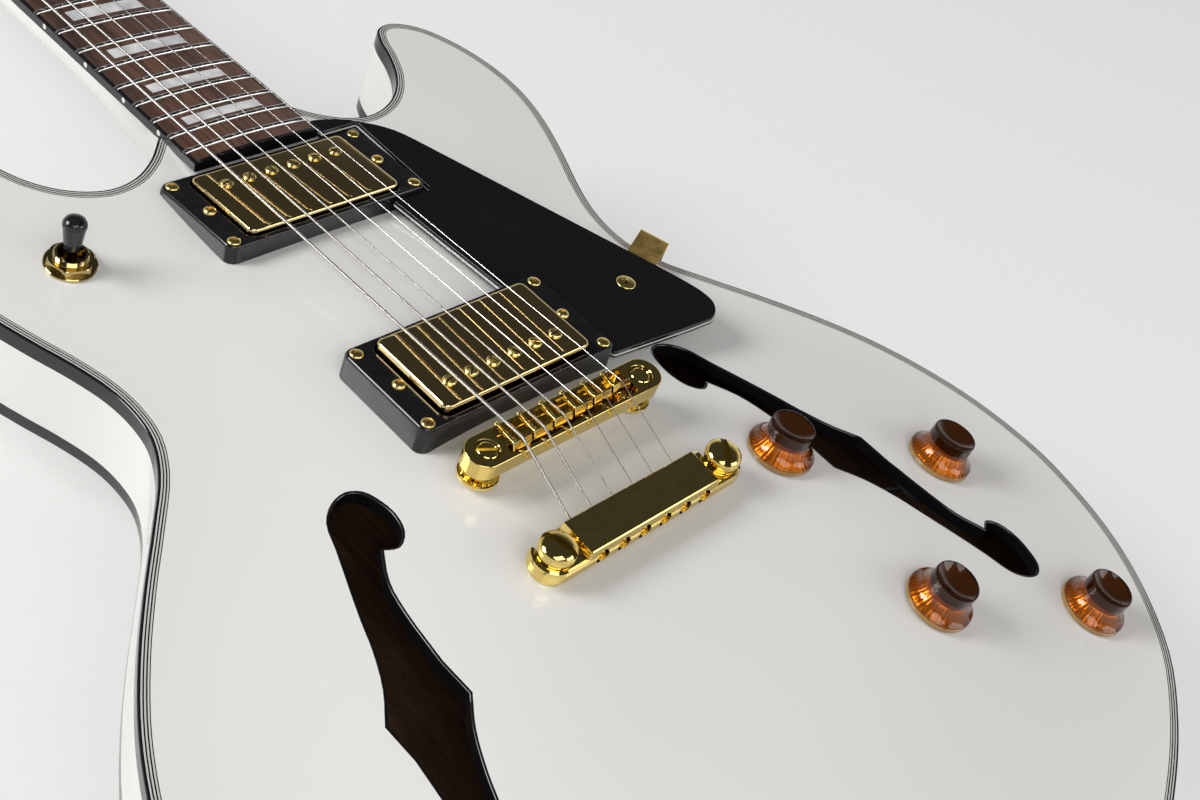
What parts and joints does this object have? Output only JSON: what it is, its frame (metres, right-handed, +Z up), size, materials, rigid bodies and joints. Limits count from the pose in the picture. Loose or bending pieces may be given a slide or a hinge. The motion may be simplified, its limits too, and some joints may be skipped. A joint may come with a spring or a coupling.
{
  "type": "semi-hollow electric guitar",
  "caption": "Double-cutaway semi-hollow electric guitar with arched top, sound holes, humbucking pickups, adjustable bridge, stop tailpiece and geared tuners.",
  "frame": {"origin": "centre of the bounding box's underside, on the surface the guitar lies on", "axes": "+Y towards the headstock, +Z up out of the top, +X towards the treble side; the guitar lies on its back, on the tail's lower edge and the headstock's tip"},
  "size_m": [0.3954, 1.0646, 0.0969],
  "materials": {
    "white_lacquer": "white high-gloss lacquer over laminated maple",
    "bare_maple": "unfinished, darkened inside the body",
    "rosewood": "oiled open-pored rosewood",
    "bone": "polished bone colour",
    "rod_steel": "plain steel",
    "string_steel": "nickel-plated steel",
    "gold_plate": "polished gold plate",
    "gold_cover": "polished gold plate",
    "black_plastic": "polished black plastic",
    "amber_plastic": "clear amber plastic"
  },
  "bodies": {
    "guitar": {"top_plate": "white_lacquer", "back_plate": "white_lacquer", "body_rim": "white_lacquer", "center_block": "bare_maple", "pickguard": "black_plastic", "pickguard_bracket": "gold_plate", "neck": "white_lacquer", "fingerboard": "rosewood", "nut": "bone", "truss_rod": "rod_steel", "tuner_housing_low_e": "gold_plate", "tuner_housing_a": "gold_plate", "tuner_housing_d": "gold_plate", "tuner_housing_g": "gold_plate", "tuner_housing_b": "gold_plate", "tuner_housing_high_e": "gold_plate", "string_low_e": "string_steel", "string_a": "string_steel", "string_d": "string_steel", "string_g": "string_steel", "string_b": "string_steel", "string_high_e": "string_steel", "tailpiece": "gold_plate", "tailpiece_stud_bass": "gold_plate", "tailpiece_stud_treble": "gold_plate", "neck_pickup_ring": "black_plastic", "bridge_pickup_ring": "black_plastic", "wiring_harness": "rod_steel", "switch_body": "gold_plate", "jack": "gold_plate", "strap_button_tail": "gold_plate", "strap_button_horn": "gold_plate"},
    "post_low_e": {"tuner_post_low_e": "gold_plate"},
    "post_a": {"tuner_post_a": "gold_plate"},
    "post_d": {"tuner_post_d": "gold_plate"},
    "post_g": {"tuner_post_g": "gold_plate"},
    "post_b": {"tuner_post_b": "gold_plate"},
    "post_high_e": {"tuner_post_high_e": "gold_plate"},
    "button_low_e": {"tuner_button_low_e": "gold_plate"},
    "button_a": {"tuner_button_a": "gold_plate"},
    "button_d": {"tuner_button_d": "gold_plate"},
    "button_g": {"tuner_button_g": "gold_plate"},
    "button_b": {"tuner_button_b": "gold_plate"},
    "button_high_e": {"tuner_button_high_e": "gold_plate"},
    "bridge": {"bridge_body": "gold_plate"},
    "saddle_low_e": {"bridge_saddle_low_e": "gold_plate"},
    "saddle_a": {"bridge_saddle_a": "gold_plate"},
    "saddle_d": {"bridge_saddle_d": "gold_plate"},
    "saddle_g": {"bridge_saddle_g": "gold_plate"},
    "saddle_b": {"bridge_saddle_b": "gold_plate"},
    "saddle_high_e": {"bridge_saddle_high_e": "gold_plate"},
    "post_bass": {"bridge_post_bass": "gold_plate"},
    "post_treble": {"bridge_post_treble": "gold_plate"},
    "pickup_neck": {"neck_pickup": "gold_cover"},
    "pickup_bridge": {"bridge_pickup": "gold_cover"},
    "knob_neck_volume": {"neck_volume_knob": "amber_plastic"},
    "knob_neck_tone": {"neck_tone_knob": "amber_plastic"},
    "knob_bridge_volume": {"bridge_volume_knob": "amber_plastic"},
    "knob_bridge_tone": {"bridge_tone_knob": "amber_plastic"},
    "lever": {"switch_lever": "black_plastic"}
  },
  "joints": [
    {"name": "post_turn_low_e", "type": "hinge", "parent": "guitar", "child": "post_low_e", "pos_m": [-0.02395, 0.39611, 0.05416], "axis": [0, 0.2835, 0.959], "continuous": true},
    {"name": "post_turn_a", "type": "hinge", "parent": "guitar", "child": "post_a", "pos_m": [-0.02545, 0.43255, 0.04339], "axis": [0, 0.2835, 0.959], "continuous": true},
    {"name": "post_turn_d", "type": "hinge", "parent": "guitar", "child": "post_d", "pos_m": [-0.02695, 0.46899, 0.03262], "axis": [0, 0.2835, 0.959], "continuous": true},
    {"name": "post_turn_g", "type": "hinge", "parent": "guitar", "child": "post_g", "pos_m": [0.02205, 0.46899, 0.03262], "axis": [0, 0.2835, 0.959], "continuous": true},
    {"name": "post_turn_b", "type": "hinge", "parent": "guitar", "child": "post_b", "pos_m": [0.02055, 0.43255, 0.04339], "axis": [0, 0.2835, 0.959], "continuous": true},
    {"name": "post_turn_high_e", "type": "hinge", "parent": "guitar", "child": "post_high_e", "pos_m": [0.01905, 0.39611, 0.05416], "axis": [0, 0.2835, 0.959], "continuous": true},
    {"name": "button_turn_low_e", "type": "hinge", "parent": "guitar", "child": "button_low_e", "pos_m": [-0.04595, 0.39565, 0.03287], "axis": [-1, 0, 0], "continuous": true},
    {"name": "button_turn_a", "type": "hinge", "parent": "guitar", "child": "button_a", "pos_m": [-0.04745, 0.43209, 0.0221], "axis": [-1, 0, 0], "continuous": true},
    {"name": "button_turn_d", "type": "hinge", "parent": "guitar", "child": "button_d", "pos_m": [-0.04895, 0.46853, 0.01132], "axis": [-1, 0, 0], "continuous": true},
    {"name": "button_turn_g", "type": "hinge", "parent": "guitar", "child": "button_g", "pos_m": [0.04405, 0.46853, 0.01132], "axis": [1, 0, 0], "continuous": true},
    {"name": "button_turn_b", "type": "hinge", "parent": "guitar", "child": "button_b", "pos_m": [0.04255, 0.43209, 0.0221], "axis": [1, 0, 0], "continuous": true},
    {"name": "button_turn_high_e", "type": "hinge", "parent": "guitar", "child": "button_high_e", "pos_m": [0.04105, 0.39565, 0.03287], "axis": [1, 0, 0], "continuous": true},
    {"name": "bridge_height", "type": "slide", "parent": "guitar", "child": "bridge", "axis": [0, -0.0877, 0.9961], "range_m": [-0.0011, 0.0002]},
    {"name": "post_turn_bass", "type": "hinge", "parent": "bridge", "child": "post_bass", "pos_m": [-0.03925, -0.27733, 0.06276], "axis": [0, -0.0877, 0.9961], "range_deg": [-566, 103]},
    {"name": "post_turn_treble", "type": "hinge", "parent": "bridge", "child": "post_treble", "pos_m": [0.03435, -0.27733, 0.06276], "axis": [0, -0.0877, 0.9961], "range_deg": [-566, 103]},
    {"name": "intonation_low_e", "type": "slide", "parent": "bridge", "child": "saddle_low_e", "axis": [0, 0.9961, 0.0877], "range_m": [-0.0002, 0.005]},
    {"name": "intonation_a", "type": "slide", "parent": "bridge", "child": "saddle_a", "axis": [0, 0.9961, 0.0877], "range_m": [-0.0008, 0.0045]},
    {"name": "intonation_d", "type": "slide", "parent": "bridge", "child": "saddle_d", "axis": [0, 0.9961, 0.0877], "range_m": [-0.0012, 0.0045]},
    {"name": "intonation_g", "type": "slide", "parent": "bridge", "child": "saddle_g", "axis": [0, 0.9961, 0.0877], "range_m": [-0.0015, 0.0045]},
    {"name": "intonation_b", "type": "slide", "parent": "bridge", "child": "saddle_b", "axis": [0, 0.9961, 0.0877], "range_m": [-0.0015, 0.0042]},
    {"name": "intonation_high_e", "type": "slide", "parent": "bridge", "child": "saddle_high_e", "axis": [0, 0.9961, 0.0877], "range_m": [-0.0015, 0.0036]},
    {"name": "neck_pickup_height", "type": "slide", "parent": "guitar", "child": "pickup_neck", "axis": [0, 0.057, 0.9984], "range_m": [-0.003, 0.001]},
    {"name": "bridge_pickup_height", "type": "slide", "parent": "guitar", "child": "pickup_bridge", "axis": [0, -0.0023, 1], "range_m": [-0.003, 0.001]},
    {"name": "neck_volume_turn", "type": "hinge", "parent": "guitar", "child": "knob_neck_volume", "pos_m": [0.07205, -0.32329, 0.0695], "axis": [0.0746, -0.029, 0.9968], "range_deg": [-150, 150]},
    {"name": "neck_tone_turn", "type": "hinge", "parent": "guitar", "child": "knob_neck_tone", "pos_m": [0.13905, -0.35529, 0.06003], "axis": [0.1311, -0.0634, 0.9893], "range_deg": [-150, 150]},
    {"name": "bridge_volume_turn", "type": "hinge", "parent": "guitar", "child": "knob_bridge_volume", "pos_m": [0.07345, -0.39992, 0.063], "axis": [0.055, -0.161, 0.9854], "range_deg": [-150, 150]},
    {"name": "bridge_tone_turn", "type": "hinge", "parent": "guitar", "child": "knob_bridge_tone", "pos_m": [0.13995, -0.43314, 0.05037], "axis": [0.066, -0.1402, 0.9879], "range_deg": [-150, 150]},
    {"name": "switch_throw", "type": "hinge", "parent": "guitar", "child": "lever", "pos_m": [-0.09624, -0.13171, 0.0734], "axis": [0, 0.9966, 0.0823], "range_deg": [-14, 14]}
  ],
  "couplings": [
    {"joint": "post_turn_low_e", "follows": "button_turn_low_e", "ratio": -0.066667},
    {"joint": "post_turn_a", "follows": "button_turn_a", "ratio": -0.066667},
    {"joint": "post_turn_d", "follows": "button_turn_d", "ratio": -0.066667},
    {"joint": "post_turn_g", "follows": "button_turn_g", "ratio": 0.066667},
    {"joint": "post_turn_b", "follows": "button_turn_b", "ratio": 0.066667},
    {"joint": "post_turn_high_e", "follows": "button_turn_high_e", "ratio": 0.066667},
    {"joint": "post_turn_bass", "follows": "bridge_height", "rad_per_m": 8976},
    {"joint": "post_turn_treble", "follows": "bridge_height", "rad_per_m": 8976}
  ]
}
